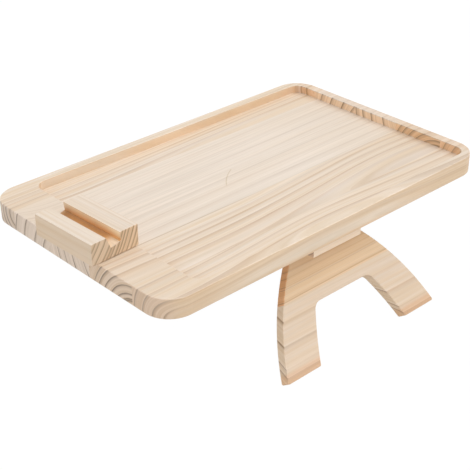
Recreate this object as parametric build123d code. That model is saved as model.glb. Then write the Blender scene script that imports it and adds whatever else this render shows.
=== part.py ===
from build123d import *
import os
from math import cos, radians, sin, tan

# Sofa arm tray: a glued-up pine board with a milled pocket, a swivelling phone stand at its left end,
# and two arch-shaped legs that lean out against stop blocks and fold in under the board.
# Millimetres. The origin is the centre of the board's underside, +X runs along the board to the right,
# +Y runs to the back and +Z points up.

# Board
tray_length = 400.0
tray_width = 250.0
tray_thickness = 19.5
tray_corner_radius = 26.0
tray_edge_round = 1.2
stave_width_shares = (0.168, 0.228, 0.224, 0.216, 0.164)

# Pocket, milled down from the top; the left end of the board stays at full height as a pad
rim_width = 10.0
pad_width = 42.0
pocket_depth = 8.5
pocket_corner_radius = 12.0
pocket_mouth_round = 0.5

# Leg, measured along its panel from the hinge pin
leg_lean = 35.0
leg_thickness = 10.5
leg_neck_width = 61.0
leg_neck_length = 9.3
leg_reach = 116.3
leg_span = 194.4
leg_side_radius = 230.0
leg_foot_width = 40.4
leg_arch_reach = 65.0
leg_arch_width = 70.4
leg_arch_side_radius = 310.0
leg_arch_corner_radius = 10.0
leg_foot_corner_radius = 1.5
leg_edge_round = 1.0
leg_seat_gap = 0.3

# Hinge
hinge_inset = 43.5
hinge_length = 50.0
hinge_leaf_width = 16.0
hinge_leaf_thickness = 1.5
hinge_leaf_corner_radius = 1.5
hinge_pin_radius = 1.5
hinge_pin_head_radius = 2.6
hinge_pin_head_thickness = 1.0
hinge_knuckle_count = 5
hinge_knuckle_gap = 0.3
hinge_relief = 0.3
running_clearance = 0.05

# Hinge screws, as shares of the leaf's length and width
hinge_screw_along_shares = (-0.34, 0.0, 0.34)
hinge_screw_across_shares = (0.7, 0.48, 0.7)
hinge_screw_length = 10.0
hinge_screw_radius = 1.5
hinge_screw_head_radius = 2.8
hinge_screw_head_height = 1.2
screw_fit = 0.05

# Stop block, which the leg's outer face leans on
stop_inset = 3.7
stop_height = 9.0
stop_gap = 0.3
stop_edge_round = 0.6
stop_screw_length = 16.0
stop_screw_radius = 1.75
stop_screw_head_radius = 3.4
stop_screw_head_height = 2.0
stop_screw_spacing = 36.0

# Screw recess
recess_length = 3.2
recess_width = 0.8
recess_depth = 1.0
screw_tip_length = 2.5
screw_tip_radius = 0.3

# Phone stand
stand_length = 75.0
stand_width = 50.0
stand_height = 20.5
stand_turn = 2.3
stand_edge_round = 0.7
slot_mouth = 14.7
slot_shift = -1.95
slot_deep = 11.2
slot_shallow = 8.4
slot_rest_lean = 23.0
slot_front_lean = 7.0

# Swivel
pivot_from_end = 17.0
pivot_from_middle = 1.8
bolt_radius = 2.5
bolt_head_radius = 4.7
bolt_head_height = 3.0
bolt_head_round = 1.0
bolt_head_recess = 1.0
washer_radius = 6.0
washer_thickness = 1.0
washer_clearance = 0.25
counterbore_radius = 7.0
glide_radius = 10.0
glide_thickness = 0.6
insert_radius = 4.0
insert_length = 8.0
insert_flange_radius = 5.5
insert_flange_thickness = 1.0
insert_fit = 0.05
bolt_end_gap = 0.5
cut_overrun = 1.0

# Places worked out from the sizes above
pin_height = hinge_pin_radius + running_clearance + hinge_leaf_thickness + hinge_relief
knuckle_radius = pin_height - hinge_relief
hinge_y = -tray_width / 2 + hinge_inset
lean_sine = sin(radians(leg_lean))
lean_cosine = cos(radians(leg_lean))
pivot_x = -tray_length / 2 + pivot_from_end
pivot_y = -pivot_from_middle
counterbore_depth = bolt_head_recess + bolt_head_height + washer_thickness
floor_height = tray_thickness - pocket_depth
stand_base = tray_thickness + glide_thickness

# Hinge frames: x along the pin, y away from the pin along the leaf, z off the wood
tray_leaf_plane = Plane(origin=(0, hinge_y, -pin_height), x_dir=(-1, 0, 0), z_dir=(0, 0, -1))
leg_plane = Plane(origin=(0, hinge_y, -pin_height), x_dir=(1, 0, 0), z_dir=(0, lean_cosine, -lean_sine))


def cross_recess():
    """Cross-shaped driver recess, open at z = 0 and running down."""
    depth = recess_depth + cut_overrun
    slot = Box(recess_length, recess_width, depth)
    cross = slot + Rot(0, 0, 90) * slot
    return Pos(0, 0, cut_overrun - depth / 2) * cross


def wood_screw(length, radius, head_radius, head_height):
    """Countersunk screw with its head's top at z = 0, pointing down."""
    shank_end = length - screw_tip_length
    outline = Polyline(
        (0, 0),
        (head_radius, 0),
        (radius, -head_height),
        (radius, -shank_end),
        (screw_tip_radius, -length),
        (0, -length),
        close=True,
    )
    screw = revolve(Plane.XZ * make_face(outline), Axis.Z)
    return screw - cross_recess()


def screw_hole(length, radius, head_radius, head_height):
    """Space for a countersunk screw, with the screw fit all round and open above z = 0."""
    flare = (head_radius - radius) / head_height * cut_overrun
    outline = Polyline(
        (0, cut_overrun),
        (head_radius + flare + screw_fit, cut_overrun),
        (radius + screw_fit, -head_height),
        (radius + screw_fit, -length - screw_fit),
        (0, -length - screw_fit),
        close=True,
    )
    return revolve(Plane.XZ * make_face(outline), Axis.Z)


def hinge_screw_places():
    """Places of a leaf's screws in the hinge frame, on the face of the leaf."""
    face = hinge_leaf_thickness - pin_height
    pairs = zip(hinge_screw_along_shares, hinge_screw_across_shares)
    return [Pos(along * hinge_length, across * hinge_leaf_width, face) for along, across in pairs]


def hinge_screw_group(place):
    """The screws of one leaf, as separate solids."""
    screw = wood_screw(hinge_screw_length, hinge_screw_radius, hinge_screw_head_radius, hinge_screw_head_height)
    return Compound([place * spot * screw for spot in hinge_screw_places()])


def hinge_screw_cuts(place):
    """The holes that one leaf's screws make in the leaf and in the wood."""
    hole = screw_hole(hinge_screw_length, hinge_screw_radius, hinge_screw_head_radius, hinge_screw_head_height)
    return [place * spot * hole for spot in hinge_screw_places()]


def knuckle_spans(own):
    """Start and end along the pin of this leaf's knuckles (own) or of the other leaf's."""
    pitch = hinge_length / hinge_knuckle_count
    first = 0 if own else 1
    return [(-hinge_length / 2 + i * pitch, -hinge_length / 2 + (i + 1) * pitch)
            for i in range(first, hinge_knuckle_count, 2)]


def hinge_leaf(outer_knuckles):
    """Leaf with rolled knuckles, in the hinge frame. The tray leaf has the outer knuckles."""
    plate = extrude(Pos(0, hinge_leaf_width / 2) * Rectangle(hinge_length, hinge_leaf_width), hinge_leaf_thickness)
    plate = Pos(0, 0, -pin_height) * plate
    far_corners = plate.edges().filter_by(Axis.Z).group_by(Axis.Y)[-1]
    leaf = fillet(far_corners, hinge_leaf_corner_radius)
    notch_reach = knuckle_radius + hinge_relief
    for start, end in knuckle_spans(not outer_knuckles):
        width = end - start + 2 * hinge_knuckle_gap
        notch = Box(width, 2 * notch_reach, 2 * pin_height + cut_overrun)
        leaf -= Pos((start + end) / 2, 0, 0) * notch
    for start, end in knuckle_spans(outer_knuckles):
        barrel = Rot(0, 90, 0) * Cylinder(knuckle_radius, end - start)
        leaf += Pos((start + end) / 2, 0, 0) * barrel
    leaf -= Rot(0, 90, 0) * Cylinder(hinge_pin_radius + running_clearance, hinge_length + cut_overrun)
    for cut in hinge_screw_cuts(Pos(0, 0, 0)):
        leaf -= cut
    return leaf


def hinge_pin():
    """Pin with a peened head at each end, along x through the origin."""
    pin = Rot(0, 90, 0) * Cylinder(hinge_pin_radius, hinge_length + hinge_pin_head_thickness)
    head = Rot(0, 90, 0) * Cylinder(hinge_pin_head_radius, hinge_pin_head_thickness)
    head_place = (hinge_length + hinge_pin_head_thickness) / 2
    return pin + Pos(head_place, 0, 0) * head + Pos(-head_place, 0, 0) * head


def leg_outline():
    """Arch-shaped face of the leg: x across, y down the panel from the hinge pin."""
    neck = leg_neck_width / 2
    foot = leg_span / 2
    heel = foot - leg_foot_width
    arch = leg_arch_width / 2
    top = -pin_height
    sides = []
    for side in (-1, 1):
        outer = RadiusArc((side * neck, leg_neck_length), (side * foot, leg_reach), -side * leg_side_radius)
        inner = RadiusArc((side * arch, leg_arch_reach), (side * heel, leg_reach), -side * leg_arch_side_radius)
        sides += [Line((side * neck, top), (side * neck, leg_neck_length)), outer, inner]
        sides += [Line((side * heel, leg_reach), (side * foot, leg_reach))]
    sides += [Line((-neck, top), (neck, top)), Line((-arch, leg_arch_reach), (arch, leg_arch_reach))]
    face = make_face(sides)
    arch_corners = [v for v in face.vertices() if abs(abs(v.X) - arch) < leg_edge_round]
    face = fillet(arch_corners, leg_arch_corner_radius)
    foot_corners = face.vertices().group_by(Axis.Y)[-1]
    return fillet(foot_corners, leg_foot_corner_radius)


def leg():
    """Leg panel at rest, leaning out, with its top cut level just under the board."""
    panel = extrude(leg_outline(), leg_thickness)
    rims = panel.faces().filter_by(Axis.Z)
    panel = fillet([edge for face in rims for edge in face.edges()], leg_edge_round)
    panel = leg_plane.location * Pos(0, 0, -pin_height - leg_thickness) * panel
    above = Box(tray_length, tray_width, tray_thickness, align=(Align.CENTER, Align.CENTER, Align.MIN))
    panel -= Pos(0, hinge_y, -leg_seat_gap) * above
    for cut in hinge_screw_cuts(leg_plane.location):
        panel -= cut
    return panel


def stop_faces():
    """Front and back of the front stop block, in y: the back clears the leaning leg by the stop gap."""
    front = -tray_width / 2 + stop_inset
    leg_face = hinge_y - (pin_height + leg_thickness) / lean_cosine
    leg_face += (pin_height - stop_height) * lean_sine / lean_cosine
    return front, leg_face - stop_gap / lean_cosine


def stop_screw_places():
    """Places of the front stop block's screws, which point up into the board."""
    front, back = stop_faces()
    middle = (front + back) / 2
    return [Pos(side * stop_screw_spacing / 2, middle, -stop_height) * Rot(180, 0, 0) for side in (-1, 1)]


def stop_screw_cuts():
    """Holes for the front stop block's screws."""
    hole = screw_hole(stop_screw_length, stop_screw_radius, stop_screw_head_radius, stop_screw_head_height)
    return [place * hole for place in stop_screw_places()]


def stop_screw_group():
    """The front stop block's screws, as separate solids."""
    screw = wood_screw(stop_screw_length, stop_screw_radius, stop_screw_head_radius, stop_screw_head_height)
    return Compound([place * screw for place in stop_screw_places()])


def stop_block():
    """Batten glued and screwed under the board, as long as the leg's neck is wide."""
    front, back = stop_faces()
    low = (Align.CENTER, Align.MIN, Align.MAX)
    block = Pos(0, front, 0) * Box(leg_neck_width, back - front, stop_height, align=low)
    block = fillet(block.faces().sort_by(Axis.Z)[0].edges(), stop_edge_round)
    for cut in stop_screw_cuts():
        block -= cut
    return block


def board():
    """The whole board with its pocket and every hole, before it is parted into staves."""
    body = extrude(RectangleRounded(tray_length, tray_width, tray_corner_radius), tray_thickness)
    rims = body.faces().filter_by(Axis.Z)
    body = fillet([edge for face in rims for edge in face.edges()], tray_edge_round)
    pocket_length = tray_length - rim_width - pad_width
    pocket_face = RectangleRounded(pocket_length, tray_width - 2 * rim_width, pocket_corner_radius)
    pocket = extrude(pocket_face, pocket_depth + cut_overrun)
    body -= Pos((pad_width - rim_width) / 2, 0, floor_height) * pocket
    mouth = body.faces().filter_by(Axis.Z).sort_by(Axis.Z)[-1].inner_wires()[0]
    body = fillet(mouth.edges(), pocket_mouth_round)
    low = (Align.CENTER, Align.CENTER, Align.MIN)
    pivot = Pos(pivot_x, pivot_y, 0)
    body -= pivot * Cylinder(bolt_radius + running_clearance, tray_thickness, align=low)
    body -= pivot * Cylinder(counterbore_radius, counterbore_depth, align=low)
    cuts = hinge_screw_cuts(tray_leaf_plane.location) + stop_screw_cuts()
    for cut in cuts:
        body -= cut
        body -= mirror(cut, about=Plane.XZ)
    return body


def staves(body):
    """The board parted along its glue lines, front to back."""
    pieces = []
    front = -tray_width / 2
    for share in stave_width_shares:
        width = share * tray_width
        slab = Box(tray_length, width, tray_thickness, align=(Align.CENTER, Align.MIN, Align.MIN))
        pieces.append(body & (Pos(0, front, 0) * slab))
        front += width
    return pieces


def phone_stand():
    """Swivelling block with a slanted slot for the phone, turned as it stands."""
    low = (Align.CENTER, Align.CENTER, Align.MIN)
    block = Box(stand_width, stand_length, stand_height, align=low)
    block = fillet(block.edges(), stand_edge_round)
    rest = slot_shift - slot_mouth / 2
    front = slot_shift + slot_mouth / 2
    lift = cut_overrun
    rest_run = tan(radians(slot_rest_lean))
    front_run = tan(radians(slot_front_lean))
    slot = Polyline(
        (rest - lift * rest_run, lift),
        (front - lift * front_run, lift),
        (front + slot_shallow * front_run, -slot_shallow),
        (rest + slot_deep * rest_run, -slot_deep),
        close=True,
    )
    cutter = extrude(Plane.XZ * make_face(slot), stand_length / 2 + cut_overrun, both=True)
    block -= Pos(0, 0, stand_height) * cutter
    block -= Cylinder(insert_radius + insert_fit, insert_length + insert_fit, align=low)
    block -= Cylinder(insert_flange_radius + insert_fit, insert_flange_thickness, align=low)
    return pivot_place() * block


def pivot_place():
    """Where the phone stand sits on its swivel, turned by its resting angle."""
    return Pos(pivot_x, pivot_y, stand_base) * Rot(0, 0, stand_turn)


def threaded_insert():
    """Flanged insert pressed into the phone stand from below."""
    low = (Align.CENTER, Align.CENTER, Align.MIN)
    sleeve = Cylinder(insert_radius, insert_length, align=low)
    sleeve += Cylinder(insert_flange_radius, insert_flange_thickness, align=low)
    sleeve -= Cylinder(bolt_radius + insert_fit, insert_length, align=low)
    return pivot_place() * sleeve


def swivel_bolt():
    """Pan-head bolt, up through the board into the insert."""
    low = (Align.CENTER, Align.CENTER, Align.MIN)
    head = Cylinder(bolt_head_radius, bolt_head_height, align=low)
    head = fillet(head.faces().sort_by(Axis.Z)[0].edges(), bolt_head_round)
    head -= Rot(180, 0, 0) * cross_recess()
    bearing = bolt_head_recess + bolt_head_height
    shank_length = stand_base + insert_length - bolt_end_gap - bearing
    shank = Pos(0, 0, bolt_head_height) * Cylinder(bolt_radius, shank_length, align=low)
    return Pos(pivot_x, pivot_y, bolt_head_recess) * (head + shank)


def ring(radius, thickness, base):
    """Flat ring round the swivel bolt."""
    low = (Align.CENTER, Align.CENTER, Align.MIN)
    disc = Cylinder(radius, thickness, align=low)
    disc -= Cylinder(bolt_radius + washer_clearance, thickness, align=low)
    return Pos(pivot_x, pivot_y, base) * disc


nodes = {}
stave_names = ("front_stave", "front_middle_stave", "centre_stave", "back_middle_stave", "back_stave")
for name, stave in zip(stave_names, staves(board())):
    nodes[name] = stave

leg_side = {
    "leg": leg(),
    "stop_block": stop_block(),
    "stop_screws": stop_screw_group(),
    "hinge_tray_leaf": tray_leaf_plane.location * hinge_leaf(True),
    "hinge_leg_leaf": leg_plane.location * hinge_leaf(False),
    "hinge_pin": tray_leaf_plane.location * hinge_pin(),
    "hinge_tray_screws": hinge_screw_group(tray_leaf_plane.location),
    "hinge_leg_screws": hinge_screw_group(leg_plane.location),
}
for name, shape in leg_side.items():
    nodes["front_" + name] = shape
    mirrored = [mirror(solid, about=Plane.XZ) for solid in shape.solids()]
    nodes["back_" + name] = Compound(mirrored) if len(mirrored) > 1 else mirrored[0]

nodes["phone_stand"] = phone_stand()
nodes["stand_insert"] = threaded_insert()
nodes["swivel_bolt"] = swivel_bolt()
nodes["swivel_washer"] = ring(washer_radius, washer_thickness, bolt_head_recess + bolt_head_height)
nodes["swivel_glide"] = ring(glide_radius, glide_thickness, tray_thickness)

os.makedirs("parts", exist_ok=True)
for name, shape in nodes.items():
    export_step(shape, "parts/" + name + ".step")
    print(name, len(shape.solids()), round(shape.volume))
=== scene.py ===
import math
from dataclasses import dataclass, replace

import bmesh
import bpy
from mathutils import Euler, Matrix, Vector


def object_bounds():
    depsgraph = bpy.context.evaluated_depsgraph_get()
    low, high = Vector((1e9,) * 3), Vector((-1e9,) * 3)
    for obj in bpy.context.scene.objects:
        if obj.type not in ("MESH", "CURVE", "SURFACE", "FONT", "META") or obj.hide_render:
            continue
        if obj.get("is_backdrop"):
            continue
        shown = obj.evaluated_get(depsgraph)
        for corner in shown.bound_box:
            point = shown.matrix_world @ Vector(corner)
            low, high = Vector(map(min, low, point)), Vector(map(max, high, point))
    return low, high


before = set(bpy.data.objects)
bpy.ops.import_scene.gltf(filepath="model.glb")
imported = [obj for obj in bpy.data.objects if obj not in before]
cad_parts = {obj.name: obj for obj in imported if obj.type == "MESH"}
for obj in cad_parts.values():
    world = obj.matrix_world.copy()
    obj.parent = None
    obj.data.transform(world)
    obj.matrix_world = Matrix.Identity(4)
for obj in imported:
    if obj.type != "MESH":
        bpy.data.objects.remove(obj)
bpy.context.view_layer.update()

bl_info = {
    "name": "Sofa arm tray",
    "version": (1, 0, 0),
    "blender": (4, 5, 0),
    "location": "View3D > Sidebar > Arm tray",
    "description": "Finishes for a pine tray that straddles a sofa's arm, and its stage",
    "category": "Object",
}

MILLIMETRE = 0.001
WHITE = (1.0, 1.0, 1.0, 1.0)


def shade(red, green, blue):
    """A colour as it shows on the screen, 0 to 255, as the linear values that a shader takes."""
    linear = []
    for value in (red, green, blue):
        share = value / 255
        linear.append(share / 12.92 if share <= 0.04045 else ((share + 0.055) / 1.055) ** 2.4)
    return tuple(linear)


def solid(colour):
    """The same colour with full cover."""
    return (*colour, 1.0)


class Wire:
    """One output in a finish. Sums of wires and numbers add Math nodes."""

    def __init__(self, finish, node, output=0):
        self.finish = finish
        self.node = node
        self.socket = node.outputs[output] if node.outputs else None

    def out(self, name):
        """Another output of the same node."""
        return Wire(self.finish, self.node, name)

    def math(self, operation, *values):
        """A Math node on wires and numbers."""
        return self.finish.add("ShaderNodeMath", {"operation": operation}, dict(enumerate(values)))

    def __add__(self, other):
        return self.math("ADD", self, other)

    def __radd__(self, other):
        return self.math("ADD", other, self)

    def __sub__(self, other):
        return self.math("SUBTRACT", self, other)

    def __rsub__(self, other):
        return self.math("SUBTRACT", other, self)

    def __mul__(self, other):
        return self.math("MULTIPLY", self, other)

    def __rmul__(self, other):
        return self.math("MULTIPLY", other, self)

    def __truediv__(self, other):
        return self.math("DIVIDE", self, other)

    def __rtruediv__(self, other):
        return self.math("DIVIDE", other, self)

    def __pow__(self, other):
        return self.math("POWER", self, other)

    def __rpow__(self, other):
        return self.math("POWER", other, self)

    def __neg__(self):
        return self.math("MULTIPLY", self, -1.0)

    def __abs__(self):
        return self.math("ABSOLUTE", self)


# How far a noise moves along each axis for each unit of its seed.
NOISE_SHIFT = (7.3, 3.7, 5.1)


class Finish:
    """The nodes of a material, or of the world, under construction."""

    def __init__(self, owner):
        owner.use_nodes = True
        self.owner = owner
        self.tree = owner.node_tree
        self.tree.nodes.clear()

    def add(self, kind, settings=None, values=None, output=0):
        """A node of that type: its settings first, then the values or wires of its sockets."""
        node = self.tree.nodes.new(kind)
        for key, value in (settings or {}).items():
            if key == "stops":
                self.set_stops(node.color_ramp, value)
            elif key == "interpolation":
                node.color_ramp.interpolation = value
            else:
                setattr(node, key, value)
        for key, value in (values or {}).items():
            if isinstance(value, Wire):
                self.tree.links.new(value.socket, node.inputs[key])
            else:
                node.inputs[key].default_value = value
        return Wire(self, node, output)

    @staticmethod
    def set_stops(ramp, stops):
        """Puts grey stops, as pairs of place and brightness, on a colour ramp."""
        while len(ramp.elements) < len(stops):
            ramp.elements.new(1.0)
        for element, (place, value) in zip(ramp.elements, stops):
            element.position = place
            element.color = (value, value, value, 1.0)

    def ramp(self, wire, stops, interpolation="LINEAR"):
        """A ramp's grey at a wire of 0 to 1. With CONSTANT each stop holds up to the next."""
        settings = {"stops": stops, "interpolation": interpolation}
        return self.add("ShaderNodeValToRGB", settings, {0: wire})

    def clamp(self, wire):
        """A wire kept between 0 and 1."""
        return self.add("ShaderNodeClamp", None, {0: wire})

    def step(self, wire, low, high):
        """0 below low, 1 above high and a smooth rise between them."""
        values = {"Value": wire, 1: low, 2: high}
        return self.add("ShaderNodeMapRange", {"interpolation_type": "SMOOTHSTEP"}, values)

    def mix(self, share, first, second, mode="MIX"):
        """Two colours mixed by a share of 0 to 1."""
        settings = {"data_type": "RGBA", "blend_type": mode}
        return self.add("ShaderNodeMix", settings, {0: share, 6: first, 7: second}, output=2)

    def scaled(self, colour, factor):
        """A colour made lighter or darker by a factor."""
        values = {0: colour, "Scale": factor}
        return self.add("ShaderNodeVectorMath", {"operation": "SCALE"}, values)

    def toned(self, colour, factor, warmth):
        """Wood made lighter or darker: its blue changes more than its red, most in warm wood."""
        change = factor - 1.0
        red_share = 1.0 - warmth * 0.4
        blue_share = 1.1 + warmth * 0.7
        channels = {0: change * red_share + 1.0, 1: factor, 2: change * blue_share + 1.0}
        spread = self.add("ShaderNodeCombineXYZ", None, channels)
        return self.add("ShaderNodeVectorMath", {"operation": "MULTIPLY"}, {0: colour, 1: spread})

    def clouds(self, vector, scale, detail):
        """Soft random tone of 0 to 1."""
        values = {"Vector": vector, "Scale": scale, "Detail": detail}
        return self.add("ShaderNodeTexNoise", None, values)

    def noise(self, coords, reach, seed, detail=2.0):
        """Soft random tone of 0 to 1 whose spots are as long as reach along each axis."""
        moved = self.add("ShaderNodeMapping", None, {
            "Vector": coords,
            "Location": tuple(seed * shift for shift in NOISE_SHIFT),
            "Scale": tuple(1 / length for length in reach),
        })
        return self.clouds(moved, 1.0, detail)

    def own_coords(self, place=(0.0, 0.0, 0.0), turn=(0.0, 0.0, 0.0)):
        """The coordinates node, and its Object coordinates in millimetres in a board's frame.

        place is the frame's origin in millimetres, and turn its rotation in degrees.
        """
        source = self.add("ShaderNodeTexCoord")
        coords = self.add("ShaderNodeMapping", {"vector_type": "TEXTURE"}, {
            "Vector": source.out("Object"),
            "Location": tuple(value * MILLIMETRE for value in place),
            "Rotation": tuple(math.radians(value) for value in turn),
            "Scale": (MILLIMETRE,) * 3,
        })
        return source, coords

    def bump(self, height, depth, strength):
        """A Bump node: height of 0 to 1 times a depth in millimetres."""
        values = {"Height": height, "Distance": depth * MILLIMETRE, "Strength": strength}
        return self.add("ShaderNodeBump", None, values, output="Normal")

    def surface(self, colour, roughness, normal, metallic=0.0):
        """The shader and the material's output."""
        shader = self.add("ShaderNodeBsdfPrincipled", None, {
            "Base Color": colour, "Roughness": roughness, "Normal": normal, "Metallic": metallic})
        self.add("ShaderNodeOutputMaterial", None, {"Surface": shader})
        return self.owner


@dataclass
class Strip:
    """One strip of wood as it was cut from its log, in millimetres in its board's frame.

    x runs along the grain. heart is where (y, z) the tree's heart passes at x = 0, drift is how
    far it moves across for each millimetre along, and swells are places (x, width, across, deep)
    where it bows. rings are pairs of a radius and how dark the late wood is there, in percent of
    its full colour, and fade is how far inside its ring late wood starts. warmth is the share of
    the warmer early wood, and light is how bright the strip is. end and end_late are the colours
    of its sawn end, and end_dark is how dark the rings are there. figure is how deep the fine
    streaks between the rings are, and pitch is how far apart they lie.
    """

    heart: tuple
    rings: tuple
    drift: float = 0.0
    swells: tuple = ()
    warmth: float = 0.5
    light: float = 1.0
    end: tuple = (243, 226, 210)
    end_late: tuple = (142, 120, 100)
    end_dark: float = 0.7
    figure: float = 1.0
    pitch: float = 2.1
    fade: float = 8.0
    seed: float = 1.0


@dataclass
class Tint:
    """A box in a board whose wood is multiplied by a colour.

    x, y and z each give a low side, a high side and the width of their soft edge, in millimetres.
    None leaves a side open.
    """

    colour: tuple
    x: tuple = (None, None, 1.0)
    y: tuple = (None, None, 1.0)
    z: tuple = (None, None, 1.0)


@dataclass
class Scratch:
    """A hairline along an arc on the top of a board, between two places along the board."""

    centre: tuple
    radius: float
    low: float
    high: float
    depth: float = 0.2


@dataclass
class Board:
    """One or two strips glued edge to edge at y = glue, with the tints and scratches on them.

    place, in millimetres, and turn, in degrees, say where the board's frame lies in the tray's.
    """

    strips: tuple
    place: tuple = (0.0, 0.0, 0.0)
    turn: tuple = (0.0, 0.0, 0.0)
    glue: float = 0.0
    tints: tuple = ()
    scratches: tuple = ()


# How strong late wood is inwards from its ring: pairs of a share of the fade and a strength.
LATE_WOOD = ((0.0, 1.0), (0.1, 1.0), (0.2, 0.58), (0.38, 0.27), (0.65, 0.1), (1.0, 0.0))
# How far the ramps of rings reach inside the first ring and outside the last one, in millimetres.
HEART_WOOD = 15.0
OUTER_WOOD = 1.0
# A place past the end of those ramps, so that no late wood shows outside the last ring.
NO_RING = 2.0
# How far the spots of a noise reach along, across and into a board, in millimetres.
RING_WANDER = (75.0, 22.0, 22.0)
RING_STRENGTH = (85.0, 30.0, 30.0)
WARM_PATCH = (150.0, 26.0, 26.0)
FIBRE = (18.0, 0.45, 0.45)
RESIN_DASH = (5.0, 0.35, 0.35)
# The streaks between the rings: their length in millimetres, how far each unit of a seed moves
# them, the scales of the broader bands and hues, and how far the hues lie from the streaks.
STREAK_LENGTH = 150.0
STREAK_SHIFT = 9.0
BAND_SCALE = 0.28
HUE_SCALE = 0.7
HUE_SHIFT = (4.0, 7.0, 4.5)
# How much warm and pale patches differ, and how much deeper streaks are on a sawn end.
PATCH_SHARE = 0.8
END_FIGURE = 0.8
# Late wood's least strength, and how much it grows from there.
LATE_LEAST = 0.55
LATE_SPREAD = 0.9
# The share of late wood's darkness that the long cut edges lose.
EDGE_CALM = 0.6
# Sawn rings are thin up to the first of these places along a board, and widen up to the second.
SAWN_RINGS_WIDEN = (100.0, 180.0)
# A ring as dark as this shows in full on a sawn end.
FAINTEST_RING = 0.05
# How wide the change from one strip to the next is, in millimetres.
GLUE_WIDTH = 0.4


def year_rings(finish, strip, coords, axes, look):
    """The distance from the tree's heart, late wood's strength, and how dark it is in its ring."""
    along = axes.out("X")
    across = axes.out("Y") - along * strip.drift - strip.heart[0]
    deep = axes.out("Z") - strip.heart[1]
    for middle, width, rise_across, rise_deep in strip.swells:
        offset = (along - middle) / width
        bow = finish.add("ShaderNodeMath", {"operation": "EXPONENT"}, {0: -(offset * offset)})
        across = across - bow * rise_across
        deep = deep - bow * rise_deep
    wander = finish.noise(coords, RING_WANDER, strip.seed)
    radius = (across * across + deep * deep) ** 0.5 + (wander - 0.5) * look.wander

    low = strip.rings[0][0] - HEART_WOOD
    span = strip.rings[-1][0] + OUTER_WOOD - low
    place = (radius - low) / span
    ends = [(ring - low) / span for ring, _ in strip.rings]
    starts = [0.0, *ends]
    darkness = [*(dark / 100 for _, dark in strip.rings), 0.0]
    next_ring = finish.ramp(place, list(zip(starts, [*ends, NO_RING])), "CONSTANT")
    inside = (next_ring - place) * span
    dark = finish.ramp(place, list(zip(starts, darkness)), "CONSTANT")
    strength = finish.noise(coords, RING_STRENGTH, strip.seed + 2)
    late = finish.ramp(inside / strip.fade, LATE_WOOD) * (strength * LATE_SPREAD + LATE_LEAST)
    return radius, late, dark


def strip_wood(finish, strip, coords, axes, end, edge, look):
    """The colour of a strip's wood, and how much late wood there is, at a point of its board."""
    along = axes.out("X")
    radius, rings, dark = year_rings(finish, strip, coords, axes, look)
    late = rings * dark * (1.0 - edge * EDGE_CALM)
    thinness = 2.0 - finish.step(along, *SAWN_RINGS_WIDEN)
    sawn = rings ** thinness * finish.step(dark, 0.0, FAINTEST_RING) * strip.end_dark
    late = late + (sawn - late) * end

    layers = finish.add("ShaderNodeCombineXYZ", None, {
        0: along / STREAK_LENGTH, 1: radius / strip.pitch, 2: strip.seed * STREAK_SHIFT})
    hue_layers = finish.add("ShaderNodeVectorMath", {"operation": "ADD"},
                            {0: layers, 1: HUE_SHIFT})
    fine = finish.clouds(layers, scale=1.0, detail=2.0)
    bands = finish.clouds(layers, scale=BAND_SCALE, detail=1.0)
    hues = finish.clouds(hue_layers, scale=HUE_SCALE, detail=1.0)
    patches = finish.noise(coords, WARM_PATCH, strip.seed + 3)

    drift = (hues - 0.5) * (look.hue_drift * strip.warmth)
    warm = finish.clamp(patches * PATCH_SHARE + drift + (strip.warmth - PATCH_SHARE / 2))
    early = finish.mix(warm, solid(look.early_pale), solid(look.early_warm))
    early = finish.mix(end, early, solid(shade(*strip.end)))
    dull = finish.mix(warm, solid(look.late_pale), solid(look.late_warm))
    dull = finish.mix(end, dull, solid(shade(*strip.end_late)))
    wood = finish.mix(finish.clamp(late), early, dull)
    depth = look.streak_contrast * strip.figure
    streaks = (fine - 0.5) * depth * (1.0 + end * END_FIGURE)
    grain = streaks + (bands - 0.5) * look.band_contrast
    return finish.toned(wood, (1.0 + grain) * strip.light, strip.warmth), late


def within(finish, axes, tint):
    """1 inside a tint's box and 0 outside it, with soft edges."""
    sides = []
    for name, (low, high, soft) in (("X", tint.x), ("Y", tint.y), ("Z", tint.z)):
        if low is not None:
            sides.append(finish.step(axes.out(name), low - soft / 2, low + soft / 2))
        if high is not None:
            sides.append(finish.step(axes.out(name), high + soft / 2, high - soft / 2))
    share = sides[0]
    for side in sides[1:]:
        share = share * side
    return share


# How near its arc a scratch is full, how far from it it is gone, and the length that its ends
# fade over, in millimetres.
SCRATCH_FULL = 0.2
SCRATCH_GONE = 0.75
SCRATCH_FADE = 3.0


def scratched(finish, axes, scratch):
    """How much darker a scratch makes a point."""
    along, across = [axes.out(name) - middle for name, middle in zip("XY", scratch.centre)]
    away = abs((along * along + across * across) ** 0.5 - scratch.radius)
    reach = finish.step(axes.out("X"), scratch.low, scratch.low + SCRATCH_FADE)
    reach = reach * finish.step(axes.out("X"), scratch.high, scratch.high - SCRATCH_FADE)
    return reach * finish.step(away, SCRATCH_GONE, SCRATCH_FULL) * scratch.depth


def facing(finish, source, turn, direction):
    """How squarely the surface faces a direction of its board's frame, either way: 0 to 1."""
    values = {0: source.out("Normal"), 1: tuple(turn @ Vector(direction))}
    settings = {"operation": "DOT_PRODUCT"}
    return abs(finish.add("ShaderNodeVectorMath", settings, values, output="Value"))


# How squarely a surface faces along the grain where a sawn end begins and is full, and how
# squarely it faces up or down where flat wood does, and the two sides of a rounded edge, where the
# painted edge highlight lies.
TURNS_TO_END = (0.3, 0.95)
TURNS_FLAT = (0.2, 0.9)
ROUND_BEGINS = (0.25, 0.6)
ROUND_ENDS = (0.97, 0.8)
# The tone of noise at which a resin dash begins and is full.
DASH_TONE = (0.64, 0.74)


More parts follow.
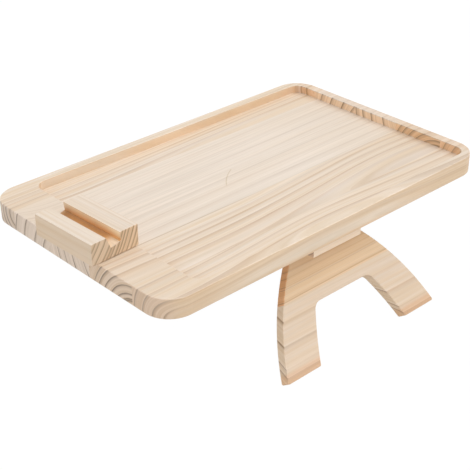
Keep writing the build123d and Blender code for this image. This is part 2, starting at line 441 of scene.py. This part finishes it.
def pine(name, board, look):
    """Sanded bare pine: rings round the tree's heart, fibres along the grain, and sawn ends."""
    finish = Finish(bpy.data.materials.new(name))
    source, coords = finish.own_coords(board.place, board.turn)
    axes = finish.add("ShaderNodeSeparateXYZ", None, {0: coords})
    turn = Euler([math.radians(value) for value in board.turn]).to_matrix()
    endways = facing(finish, source, turn, (1, 0, 0))
    flat = facing(finish, source, turn, (0, 0, 1))
    end = finish.step(endways, *TURNS_TO_END)
    edge = 1.0 - finish.step(flat, *TURNS_FLAT)

    wood, tone = strip_wood(finish, board.strips[0], coords, axes, end, edge, look)
    for strip in board.strips[1:]:
        past_glue = finish.step(axes.out("Y"), board.glue - GLUE_WIDTH / 2,
                                board.glue + GLUE_WIDTH / 2)
        next_wood, next_tone = strip_wood(finish, strip, coords, axes, end, edge, look)
        wood = finish.mix(past_glue, wood, next_wood)
        tone = tone + (next_tone - tone) * past_glue
    # The long cut edges are multiplied warmer and darker than the top: painted shade that stands
    # for the whitish sheen only the sanded top shows.
    long_edge = edge * (1.0 - end) * look.edge_shade_for_top_sheen_share
    wood = finish.mix(long_edge, wood, solid(look.edge_shade_for_top_sheen), "MULTIPLY")
    for tint in board.tints:
        colour = solid(shade(*tint.colour))
        wood = finish.mix(within(finish, axes, tint), wood, colour, "MULTIPLY")

    seed = board.strips[0].seed
    fibres = finish.noise(coords, FIBRE, seed + 5, detail=3.0)
    specks = finish.noise(coords, RESIN_DASH, seed + 6)
    dashes = finish.step(specks, *DASH_TONE) * (0.3 + tone * 3.0)
    shimmer = 1.0 + (fibres - 0.5) * look.fibre_contrast - dashes * look.dash_contrast
    for scratch in board.scratches:
        shimmer = shimmer - scratched(finish, axes, scratch)
    # Rounded edges are painted lighter: a painted highlight along them.
    edge_highlight_share = finish.step(flat, *ROUND_BEGINS) * finish.step(flat, *ROUND_ENDS)
    wood = finish.toned(wood, shimmer + edge_highlight_share * look.painted_edge_highlight, warmth=0.5)

    rough = look.roughness - tone * 0.2 + (fibres - 0.5) * 0.12 + end * 0.08
    height = tone + fibres * 0.5 + dashes * -0.4
    return finish.surface(wood, rough, finish.bump(height, depth=0.04, strength=0.5))


METAL_CLOUD = (4.0, 4.0, 4.0)
BRUSH_LINE = (6.0, 0.12, 0.12)
NYLON_CLOUD = (5.0, 5.0, 5.0)
NYLON_PIT = (0.3, 0.3, 0.3)


def metal(name, colour, roughness, seed):
    """Plated or bare metal with fine brush lines and a slight cloudiness."""
    finish = Finish(bpy.data.materials.new(name))
    _, coords = finish.own_coords()
    cloud = finish.noise(coords, METAL_CLOUD, seed)
    brush = finish.noise(coords, BRUSH_LINE, seed + 1)
    tone = 0.9 + cloud * 0.14 + (brush - 0.5) * 0.1
    rough = roughness + (cloud - 0.5) * 0.14 + (brush - 0.5) * 0.16
    normal = finish.bump(brush, depth=0.01, strength=0.4)
    return finish.surface(finish.scaled(tuple(colour), tone), rough, normal, metallic=1.0)


def nylon(name, colour, roughness, seed):
    """Moulded nylon with a fine matt texture."""
    finish = Finish(bpy.data.materials.new(name))
    _, coords = finish.own_coords()
    cloud = finish.noise(coords, NYLON_CLOUD, seed)
    pits = finish.noise(coords, NYLON_PIT, seed + 1)
    tone = 0.95 + cloud * 0.1
    rough = roughness + (pits - 0.5) * 0.2
    normal = finish.bump(pits, depth=0.02, strength=0.5)
    return finish.surface(finish.scaled(tuple(colour), tone), rough, normal)


# The origin of the board's frame, which all its staves share.
TRAY_PLACE = (0.0, 0.0, 0.5)
# Parts of the board multiplied lighter, darker or warmer than the rest of it; some of them are
# painted light or shade, as said at each.
# The two ends of the board are painted a little darker: painted shade where the light from above
# falls off towards them.
LEFT_END_SHADE = Tint((251, 248, 244), x=(None, -150.0, 30.0))
RIGHT_END_SHADE = Tint((252, 251, 249), x=(120.0, None, 120.0))
RIGHT_RIM = Tint((255, 249, 245), x=(191.0, None, 2.0), z=(15.0, None, 3.0))
RIGHT_WALL = Tint((268, 252, 231), x=(188.5, 192.0, 0.2), z=(11.0, 18.0, 0.8))
EVERY_STAVE = (LEFT_END_SHADE, RIGHT_END_SHADE, RIGHT_RIM, RIGHT_WALL)
FRONT_FACE = (
    Tint((260, 266, 275), x=(-120.0, 75.0, 50.0), y=(None, -124.0, 0.5), z=(3.5, 11.5, 5.0)),
    Tint((254, 247, 238), x=(-75.0, 55.0, 50.0), y=(None, -124.0, 0.5), z=(None, 2.2, 1.6)),
)
GLUE_SHADOW = Tint((205, 196, 184), x=(None, -10.0, 110.0), y=(-27.3, None, 0.9),
                   z=(10.5, 11.5, 0.2))
# A dark spot where the glue line meets the top of the left end: partly the dark glue line, partly
# painted shadow under the phone stand's overhanging corner.
GLUE_LINE_AND_STAND_SHADOW_SPOT = Tint((120, 98, 78), x=(None, -198.9, 0.4), y=(-28.7, None, 0.9), z=(13.5, None, 2.0))
BACK_WALL = (
    Tint((259, 266, 279), x=(-158.0, 190.0, 8.0), y=(114.0, 116.0, 0.6), z=(10.9, 18.0, 0.8)),
    Tint((255, 245, 231), x=(-50.0, 185.0, 60.0), y=(114.0, 116.0, 0.6), z=(10.9, 17.6, 3.0)),
)
BACK_STAVE_END = Tint((248, 247, 245), x=(None, -199.0, 1.0))
# The pocket's far right corner is painted warmer and darker: painted shade where its two walls and
# its floor meet.
FAR_CORNER_SHADE = Tint((252, 236, 221), x=(165.0, 192.5, 24.0), y=(88.0, 115.6, 8.0),
                  z=(11.2, 18.5, 0.8))
STAVES = {
    "front_stave": Board(
        strips=(Strip(
            heart=(-127.0, -1.5), swells=((6.0, 92.0, 6.4, 7.9),),
            rings=((12.3, 44), (21.1, 36), (32.1, 31), (42.3, 40)),
            warmth=0.66, end=(236, 210, 185), end_dark=0.5, figure=1.35, seed=1.0),),
        place=TRAY_PLACE, tints=(*EVERY_STAVE, *FRONT_FACE)),
    "front_middle_stave": Board(
        strips=(Strip(
            heart=(-92.0, -20.0), drift=-0.0241, swells=((157.0, 154.0, 15.9, 6.4),),
            rings=((24.5, 22), (26.1, 22), (30.7, 29), (37.9, 45), (45.9, 40), (52.9, 35),
                   (58.7, 29)),
            warmth=0.62, end=(239, 215, 190), figure=1.35, seed=2.0),),
        place=TRAY_PLACE, tints=(*EVERY_STAVE, GLUE_SHADOW, GLUE_LINE_AND_STAND_SHADOW_SPOT)),
    "centre_stave": Board(
        strips=(Strip(
            heart=(-53.0, 28.0), drift=0.0124, swells=((-200.0, 60.0, -4.0, 0.0),),
            rings=((44.6, 22), (60.0, 18), (71.3, 16), (80.6, 9)), warmth=0.12, seed=3.0),),
        place=TRAY_PLACE, tints=EVERY_STAVE,
        scratches=(Scratch(centre=(42.1, -43.2), radius=76.5, low=-20.0, high=8.5),)),
    "back_middle_stave": Board(
        strips=(Strip(
            heart=(-6.0, -8.0), drift=0.0239, swells=((-212.0, 25.0, 15.5, -5.1),),
            rings=((42.4, 13), (54.9, 18), (70.2, 17), (83.6, 13)), warmth=0.12, seed=4.0),),
        place=TRAY_PLACE, tints=EVERY_STAVE),
    "back_stave": Board(
        strips=(Strip(
            heart=(84.6, 21.5), drift=0.0308,
            swells=((-210.0, 50.0, 1.1, -6.7), (150.0, 210.0, 0.0, -5.5)),
            rings=((11.9, 40), (18.4, 30), (23.3, 30), (29.7, 16)),
            warmth=0.68, end=(238, 220, 203), figure=1.35, seed=5.0),),
        place=TRAY_PLACE, tints=(*EVERY_STAVE, BACK_STAVE_END, FAR_CORNER_SHADE, *BACK_WALL)),
}

# A leg's panel leans out 35 degrees from upright.
PANEL_TURN = 90.0 + 35.0
PANEL_GLUE = 54.0
UPPER_STRIP = Strip(
    heart=(-120.0, -8.0),
    rings=((144.1, 32), (150.1, 26), (155.1, 18), (161.1, 26), (163.1, 32), (172.6, 42)),
    warmth=0.85, light=0.93, end=(246, 200, 159), end_late=(140, 92, 58), end_dark=0.5,
    pitch=1.2, fade=4.0, seed=6.0)
LOWER_STRIP = Strip(
    heart=(203.0, 77.5), drift=0.012,
    rings=((128.9, 36), (134.0, 14), (147.5, 30), (163.4, 16)),
    warmth=0.8, end=(250, 230, 204), end_late=(150, 112, 78), end_dark=0.6, seed=7.0)
PANEL_TINTS = (
    Tint((255, 243, 227), y=(None, PANEL_GLUE, GLUE_WIDTH)),
    Tint((246, 241, 236), y=(PANEL_GLUE, None, GLUE_WIDTH)),
    Tint((253, 248, 240), y=(26.0, 40.0, 9.0)),
    Tint((252, 236, 222), y=(108.0, None, 4.0)),
)
LEGS = {
    "front_leg": Board(
        strips=(UPPER_STRIP, LOWER_STRIP), glue=PANEL_GLUE,
        place=(0.0, -81.5, -3.35), turn=(-PANEL_TURN, 0.0, 0.0), tints=PANEL_TINTS),
    "back_leg": Board(
        strips=(replace(UPPER_STRIP, heart=(-120.0, 9.0), seed=11.0),
                replace(LOWER_STRIP, heart=(203.0, -70.0), drift=-0.01, seed=12.0)),
        glue=PANEL_GLUE,
        place=(0.0, 81.5, -3.35), turn=(PANEL_TURN - 180.0, 0.0, 0.0), tints=PANEL_TINTS),
}

# The stop blocks' wood is raised to 1.2 times its brightness: lighter wood, and partly painted
# light, making up for the shade under the tray.
STOP_STRIP = Strip(
    heart=(20.0, 30.0), rings=((30.0, 12), (36.0, 16), (41.0, 10)),
    warmth=0.7, light=1.2, end=(212, 178, 146), seed=8.0)
STOP_SHADOW = Tint((236, 220, 204), z=(3.2, None, 0.8))
STOPS = {
    "front_stop_block": Board(
        strips=(STOP_STRIP,), place=(0.0, -113.0, -4.5), tints=(STOP_SHADOW,)),
    "back_stop_block": Board(
        strips=(replace(STOP_STRIP, heart=(-24.0, 28.0), seed=9.0),),
        place=(0.0, 113.0, -4.5), tints=(STOP_SHADOW,)),
}

# Painted shade inside the phone stand's slot: its wall and floor are painted darker and oranger,
# like shade and warm bounced light in a narrow slot.
SLOT_WALL_SHADE = Tint((240, 196, 137), x=(-37.0, 37.8, 0.3), y=(-8.0, -5.0, 0.4), z=(8.0, 14.4, 10.0))
SLOT_FLOOR_SHADE = (
    Tint((247, 212, 157), x=(-26.0, 37.8, 10.0), y=(-5.0, 10.0, 0.4), z=(6.0, 15.0, 10.0)),
    Tint((250, 237, 226), x=(-37.0, 37.8, 0.3), y=(-5.0, 10.0, 0.4), z=(6.0, 12.4, 0.6)),
)
# Painted light and shade over the whole slot: lighter and cooler all through, darker on its floor,
# and darker towards its far end.
SLOT_LIGHT_AND_SHADE = (
    Tint((272, 281, 284), x=(-36.7, 37.3, 0.2), y=(-8.0, 10.0, 0.4), z=(8.0, 20.2, 0.4)),
    Tint((214, 204, 200), x=(-24.0, 37.3, 14.0), y=(-8.0, 10.0, 0.4), z=(8.0, 12.4, 0.6)),
    Tint((226, 221, 218), x=(29.0, 37.3, 16.0), y=(-8.0, 10.0, 0.4), z=(8.0, 17.0, 6.0)),
)
STAND_END = Tint((266, 263, 260), x=(None, -37.2, 0.4), y=(None, -2.0, 8.0))
STAND = {
    "phone_stand": Board(
        strips=(Strip(
            heart=(87.6, 58.0),
            rings=((78.0, 7), (81.6, 7), (87.7, 8), (93.9, 10), (97.0, 9), (100.0, 11), (104.0, 13),
                   (107.0, 12), (110.5, 14), (114.9, 15), (119.3, 16), (123.5, 15)),
            warmth=0.5, end=(224, 198, 168), end_late=(140, 114, 84), end_dark=0.54, seed=10.0),),
        place=(-183.0, -1.8, 20.1), turn=(0.0, 0.0, 92.3),
        tints=(STAND_END, SLOT_WALL_SHADE, *SLOT_FLOOR_SHADE, *SLOT_LIGHT_AND_SHADE)),
}


def cover(node, material):
    """Gives a CAD node its finish."""
    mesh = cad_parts[node].data
    mesh.materials.clear()
    mesh.materials.append(material)


def finish_boards(boards, look):
    """Gives each board its own pine."""
    for node, board in boards.items():
        cover(node, pine(node + "_pine", board, look))


class PineLook(bpy.types.PropertyGroup):
    """Colours and contrasts of the pine."""

    early_pale: bpy.props.FloatVectorProperty(
        name="Pale early wood", description="Pinkish cream of the palest boards",
        subtype="COLOR", size=3, min=0.0, max=1.0, default=shade(239, 225, 210))
    early_warm: bpy.props.FloatVectorProperty(
        name="Warm early wood", description="Yellower cream of the warmer boards",
        subtype="COLOR", size=3, min=0.0, max=1.0, default=shade(240, 220, 196))
    late_pale: bpy.props.FloatVectorProperty(
        name="Late wood of pale boards", description="Greyish brown of their dark lines",
        subtype="COLOR", size=3, min=0.0, max=1.0, default=shade(184, 155, 128))
    late_warm: bpy.props.FloatVectorProperty(
        name="Late wood of warm boards", description="Tan of their dark lines",
        subtype="COLOR", size=3, min=0.0, max=1.0, default=shade(182, 135, 82))
    # Painted shade on the long cut edges, standing for the sheen of the sanded top.
    edge_shade_for_top_sheen: bpy.props.FloatVectorProperty(
        name="Edge shade", description="Colour that the long cut edges are multiplied by",
        subtype="COLOR", size=3, min=0.0, max=1.0, default=shade(252, 240, 222))
    edge_shade_for_top_sheen_share: bpy.props.FloatProperty(
        name="Edge shade share", description="How much of the edge shade the long edges take",
        subtype="FACTOR", min=0.0, max=1.0, default=0.8)
    # Painted highlight along the rounded edges.
    painted_edge_highlight: bpy.props.FloatProperty(
        name="Edge highlight", description="How much lighter the rounded edges are",
        subtype="FACTOR", min=0.0, max=1.0, default=0.1)
    wander: bpy.props.FloatProperty(
        name="Wander", description="How far the rings stray from round, in millimetres",
        min=0.0, max=8.0, default=1.2)
    streak_contrast: bpy.props.FloatProperty(
        name="Streaks", description="Depth of the fine lines between the rings",
        min=0.0, max=1.0, default=0.3)
    hue_drift: bpy.props.FloatProperty(
        name="Hue drift", description="How much the lines of warm boards differ in warmth",
        min=0.0, max=6.0, default=3.0)
    band_contrast: bpy.props.FloatProperty(
        name="Bands", description="Depth of the broad bands between the rings",
        min=0.0, max=1.0, default=0.12)
    fibre_contrast: bpy.props.FloatProperty(
        name="Fibres", description="Depth of the fine fibres along the grain",
        min=0.0, max=1.0, default=0.12)
    dash_contrast: bpy.props.FloatProperty(
        name="Resin dashes", description="Depth of the short dark resin dashes",
        min=0.0, max=1.0, default=0.12)
    roughness: bpy.props.FloatProperty(
        name="Roughness", description="How matt the sanded wood is",
        subtype="FACTOR", min=0.0, max=1.0, default=0.56)


class FittingsLook(bpy.types.PropertyGroup):
    """Colours of the metal and plastic fittings, and how matt they are."""

    zinc: bpy.props.FloatVectorProperty(
        name="Zinc plate", description="Colour of the hinges and screws",
        subtype="COLOR", size=3, min=0.0, max=1.0, default=(0.66, 0.67, 0.69))
    zinc_roughness: bpy.props.FloatProperty(
        name="Zinc roughness", description="How matt the plating of the hinges is",
        subtype="FACTOR", min=0.0, max=1.0, default=0.34)
    screw_roughness: bpy.props.FloatProperty(
        name="Screw roughness", description="How matt the plating of the screws and the bolt is",
        subtype="FACTOR", min=0.0, max=1.0, default=0.4)
    brass: bpy.props.FloatVectorProperty(
        name="Brass", description="Colour of the threaded insert",
        subtype="COLOR", size=3, min=0.0, max=1.0, default=(0.83, 0.62, 0.3))
    brass_roughness: bpy.props.FloatProperty(
        name="Brass roughness", description="How matt the threaded insert is",
        subtype="FACTOR", min=0.0, max=1.0, default=0.3)
    plastic: bpy.props.FloatVectorProperty(
        name="Nylon", description="Colour of the glide under the phone stand",
        subtype="COLOR", size=3, min=0.0, max=1.0, default=(0.82, 0.8, 0.75))
    plastic_roughness: bpy.props.FloatProperty(
        name="Nylon roughness", description="How matt the glide is",
        subtype="FACTOR", min=0.0, max=1.0, default=0.42)


class StageLook(bpy.types.PropertyGroup):
    """Camera, floor and light."""

    camera_place: bpy.props.FloatVectorProperty(
        name="Camera", description="Place of the camera",
        subtype="TRANSLATION", unit="LENGTH", size=3, default=(-0.66021, -0.70156, 0.50893))
    camera_azimuth: bpy.props.FloatProperty(
        name="Azimuth", description="Direction of the camera round the tray",
        subtype="ANGLE", default=math.radians(-42.769))
    camera_elevation: bpy.props.FloatProperty(
        name="Elevation", description="Height of the camera above the horizon",
        subtype="ANGLE", default=math.radians(30.065))
    camera_roll: bpy.props.FloatProperty(
        name="Roll", description="Turn of the camera about its own line of sight",
        subtype="ANGLE", default=math.radians(-0.301))
    lens: bpy.props.FloatProperty(
        name="Lens", description="Focal length on a 36 mm sensor", unit="CAMERA", default=87.88)
    sky: bpy.props.FloatProperty(
        name="Sky", description="Strength of the even light from all round", min=0.0, default=0.55)
    key: bpy.props.FloatProperty(
        name="Key", description="Strength of the soft light from above", min=0.0, default=1.27)
    key_angle: bpy.props.FloatProperty(
        name="Key softness", description="Angle that the soft light fills",
        subtype="ANGLE", default=math.radians(70.0))
    key_from: bpy.props.FloatVectorProperty(
        name="Key from", description="Direction of the soft light",
        subtype="DIRECTION", size=3, default=(0.3, -0.25, 0.92))
    front_fill: bpy.props.FloatProperty(
        name="Front fill", description="Strength of the broad light from the front",
        min=0.0, default=0.42)
    left_fill: bpy.props.FloatProperty(
        name="Left fill", description="Strength of the broad light from the left",
        min=0.0, default=0.28)
    fill_angle: bpy.props.FloatProperty(
        name="Fill softness", description="Angle that the broad lights fill",
        subtype="ANGLE", default=math.radians(60.0))
    floor_white: bpy.props.FloatProperty(
        name="Floor white", description="Share of plain white in what the camera sees of the floor",
        subtype="FACTOR", min=0.0, max=1.0, default=0.97)


class FinishBoard(bpy.types.Operator):
    """Give the five staves of the board their grain"""

    bl_idname = "arm_tray.finish_board"
    bl_label = "Board"

    def execute(self, context):
        finish_boards(STAVES, context.scene.arm_tray_pine)
        return {"FINISHED"}


class FinishLegs(bpy.types.Operator):
    """Give the two legs and their stop blocks their grain"""

    bl_idname = "arm_tray.finish_legs"
    bl_label = "Legs and stop blocks"

    def execute(self, context):
        finish_boards(LEGS, context.scene.arm_tray_pine)
        finish_boards(STOPS, context.scene.arm_tray_pine)
        return {"FINISHED"}


class FinishStand(bpy.types.Operator):
    """Give the phone stand its grain"""

    bl_idname = "arm_tray.finish_stand"
    bl_label = "Phone stand"

    def execute(self, context):
        finish_boards(STAND, context.scene.arm_tray_pine)
        return {"FINISHED"}


class FinishFittings(bpy.types.Operator):
    """Give the hinges, screws and the swivel's pieces their metal and plastic"""

    bl_idname = "arm_tray.finish_fittings"
    bl_label = "Fittings"

    def execute(self, context):
        look = context.scene.arm_tray_fittings
        plate = metal("zinc_plate", look.zinc, look.zinc_roughness, seed=21.0)
        screws = metal("screw_zinc", look.zinc, look.screw_roughness, seed=23.0)
        brass = metal("insert_brass", look.brass, look.brass_roughness, seed=25.0)
        for side in ("front_", "back_"):
            for piece in ("hinge_tray_leaf", "hinge_leg_leaf", "hinge_pin"):
                cover(side + piece, plate)
            for piece in ("hinge_tray_screws", "hinge_leg_screws", "stop_screws"):
                cover(side + piece, screws)
        cover("swivel_bolt", screws)
        cover("swivel_washer", plate)
        cover("stand_insert", brass)
        glide = nylon("glide_nylon", look.plastic, look.plastic_roughness, seed=31.0)
        cover("swivel_glide", glide)
        return {"FINISHED"}


FLOOR_REACH = 6.0
FLOOR_GAP = 0.0002
FLOOR_COLOUR = (0.8, 0.8, 0.8, 1.0)
# A little over plain white, which makes up for the share of matt floor under it.
FLOOR_GLOW = 1.025
SENSOR_WIDTH = 36.0
FROM_FRONT = (0.0, -1.0, 0.0)
FROM_LEFT = (-1.0, 0.0, 0.2)


def seen_in_picture(rays):
    """1 for what the camera sees, also in metal and through glass, and 0 for all other light."""
    seen = rays.out("Is Camera Ray") + rays.out("Is Glossy Ray") + rays.out("Is Transmission Ray")
    return rays.finish.clamp(seen)


def white_floor(look):
    """Pale floor with a faint shadow: the camera sees it as white, and as air from below."""
    finish = Finish(bpy.data.materials.new("white_floor"))
    rays = finish.add("ShaderNodeLightPath")
    matt = finish.add("ShaderNodeBsdfDiffuse", None, {"Color": FLOOR_COLOUR})
    glow = finish.add("ShaderNodeEmission", None, {"Color": WHITE, "Strength": FLOOR_GLOW})
    share = seen_in_picture(rays) * look.floor_white
    above = finish.add("ShaderNodeMixShader", None, {0: share, 1: matt, 2: glow})
    below = finish.add("ShaderNodeNewGeometry").out("Backfacing") * rays.out("Is Camera Ray")
    clear = finish.add("ShaderNodeBsdfTransparent")
    floor = finish.add("ShaderNodeMixShader", None, {0: below, 1: above, 2: clear})
    finish.add("ShaderNodeOutputMaterial", None, {"Surface": floor})
    return finish.owner


def white_world(look):
    """Even light all round, seen as white by the camera."""
    finish = Finish(bpy.data.worlds.new("studio"))
    rays = finish.add("ShaderNodeLightPath")
    light = finish.add("ShaderNodeBackground", None, {"Color": WHITE, "Strength": look.sky})
    white = finish.add("ShaderNodeBackground", None, {"Color": WHITE})
    sky = finish.add("ShaderNodeMixShader", None, {0: seen_in_picture(rays), 1: light, 2: white})
    finish.add("ShaderNodeOutputWorld", None, {"Surface": sky})
    return finish.owner


def add_floor(scene, look):
    """A plane just under the lowest point of the tray."""
    lowest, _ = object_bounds()
    under_tray = Matrix.Translation((0.0, 0.0, lowest.z - FLOOR_GAP))
    plane = bmesh.new()
    bmesh.ops.create_grid(plane, x_segments=1, y_segments=1, size=FLOOR_REACH, matrix=under_tray)
    mesh = bpy.data.meshes.new("floor")
    plane.to_mesh(mesh)
    plane.free()
    mesh.materials.append(white_floor(look))
    floor = bpy.data.objects.new("floor", mesh)
    scene.collection.objects.link(floor)
    floor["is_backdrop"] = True


def add_lights(scene, look):
    """The even light, a soft one from above and two broad ones from the front and the left."""
    scene.world = white_world(look)
    for name, strength, angle, source in (
        ("soft_key", look.key, look.key_angle, look.key_from),
        ("front_fill", look.front_fill, look.fill_angle, FROM_FRONT),
        ("left_fill", look.left_fill, look.fill_angle, FROM_LEFT),
    ):
        lamp = bpy.data.lights.new(name, "SUN")
        lamp.energy = strength
        lamp.angle = angle
        light = bpy.data.objects.new(name, lamp)
        light.rotation_euler = Vector(source).to_track_quat("Z", "Y").to_euler()
        scene.collection.objects.link(light)


def add_camera(scene, look):
    """The camera at the photograph's angle."""
    camera = bpy.data.objects.new("camera", bpy.data.cameras.new("camera"))
    camera.data.lens = look.lens
    camera.data.sensor_width = SENSOR_WIDTH
    tilt = math.pi / 2 - look.camera_elevation
    level = Euler((tilt, 0.0, look.camera_azimuth)).to_matrix()
    turned = level @ Matrix.Rotation(look.camera_roll, 3, "Z")
    camera.matrix_world = Matrix.Translation(look.camera_place) @ turned.to_4x4()
    scene.collection.objects.link(camera)
    scene.camera = camera


class SetStage(bpy.types.Operator):
    """Build the floor, the light and the camera"""

    bl_idname = "arm_tray.set_stage"
    bl_label = "Stage"

    def execute(self, context):
        scene = context.scene
        look = scene.arm_tray_stage
        add_floor(scene, look)
        add_lights(scene, look)
        add_camera(scene, look)
        scene.view_settings.view_transform = "Standard"
        return {"FINISHED"}


STEPS = (FinishBoard, FinishLegs, FinishStand, FinishFittings, SetStage)


class TrayPanel(bpy.types.Panel):
    """The tray's finishes and its stage"""

    bl_idname = "VIEW3D_PT_arm_tray"
    bl_label = "Arm tray"
    bl_space_type = "VIEW_3D"
    bl_region_type = "UI"
    bl_category = "Arm tray"

    def draw(self, context):
        scene = context.scene
        for step in STEPS:
            self.layout.operator(step.bl_idname)
        for group in (scene.arm_tray_pine, scene.arm_tray_fittings, scene.arm_tray_stage):
            box = self.layout.box()
            for name in group.__annotations__:
                box.prop(group, name)


CLASSES = (PineLook, FittingsLook, StageLook, *STEPS, TrayPanel)


def register():
    for each in CLASSES:
        bpy.utils.register_class(each)
    bpy.types.Scene.arm_tray_pine = bpy.props.PointerProperty(type=PineLook)
    bpy.types.Scene.arm_tray_fittings = bpy.props.PointerProperty(type=FittingsLook)
    bpy.types.Scene.arm_tray_stage = bpy.props.PointerProperty(type=StageLook)


def unregister():
    del bpy.types.Scene.arm_tray_stage
    del bpy.types.Scene.arm_tray_fittings
    del bpy.types.Scene.arm_tray_pine
    for each in reversed(CLASSES):
        bpy.utils.unregister_class(each)


def main():
    register()
    bpy.ops.arm_tray.finish_board()
    bpy.ops.arm_tray.finish_legs()
    bpy.ops.arm_tray.finish_stand()
    bpy.ops.arm_tray.finish_fittings()
    bpy.ops.arm_tray.set_stage()


if __name__ == "__main__":
    main()
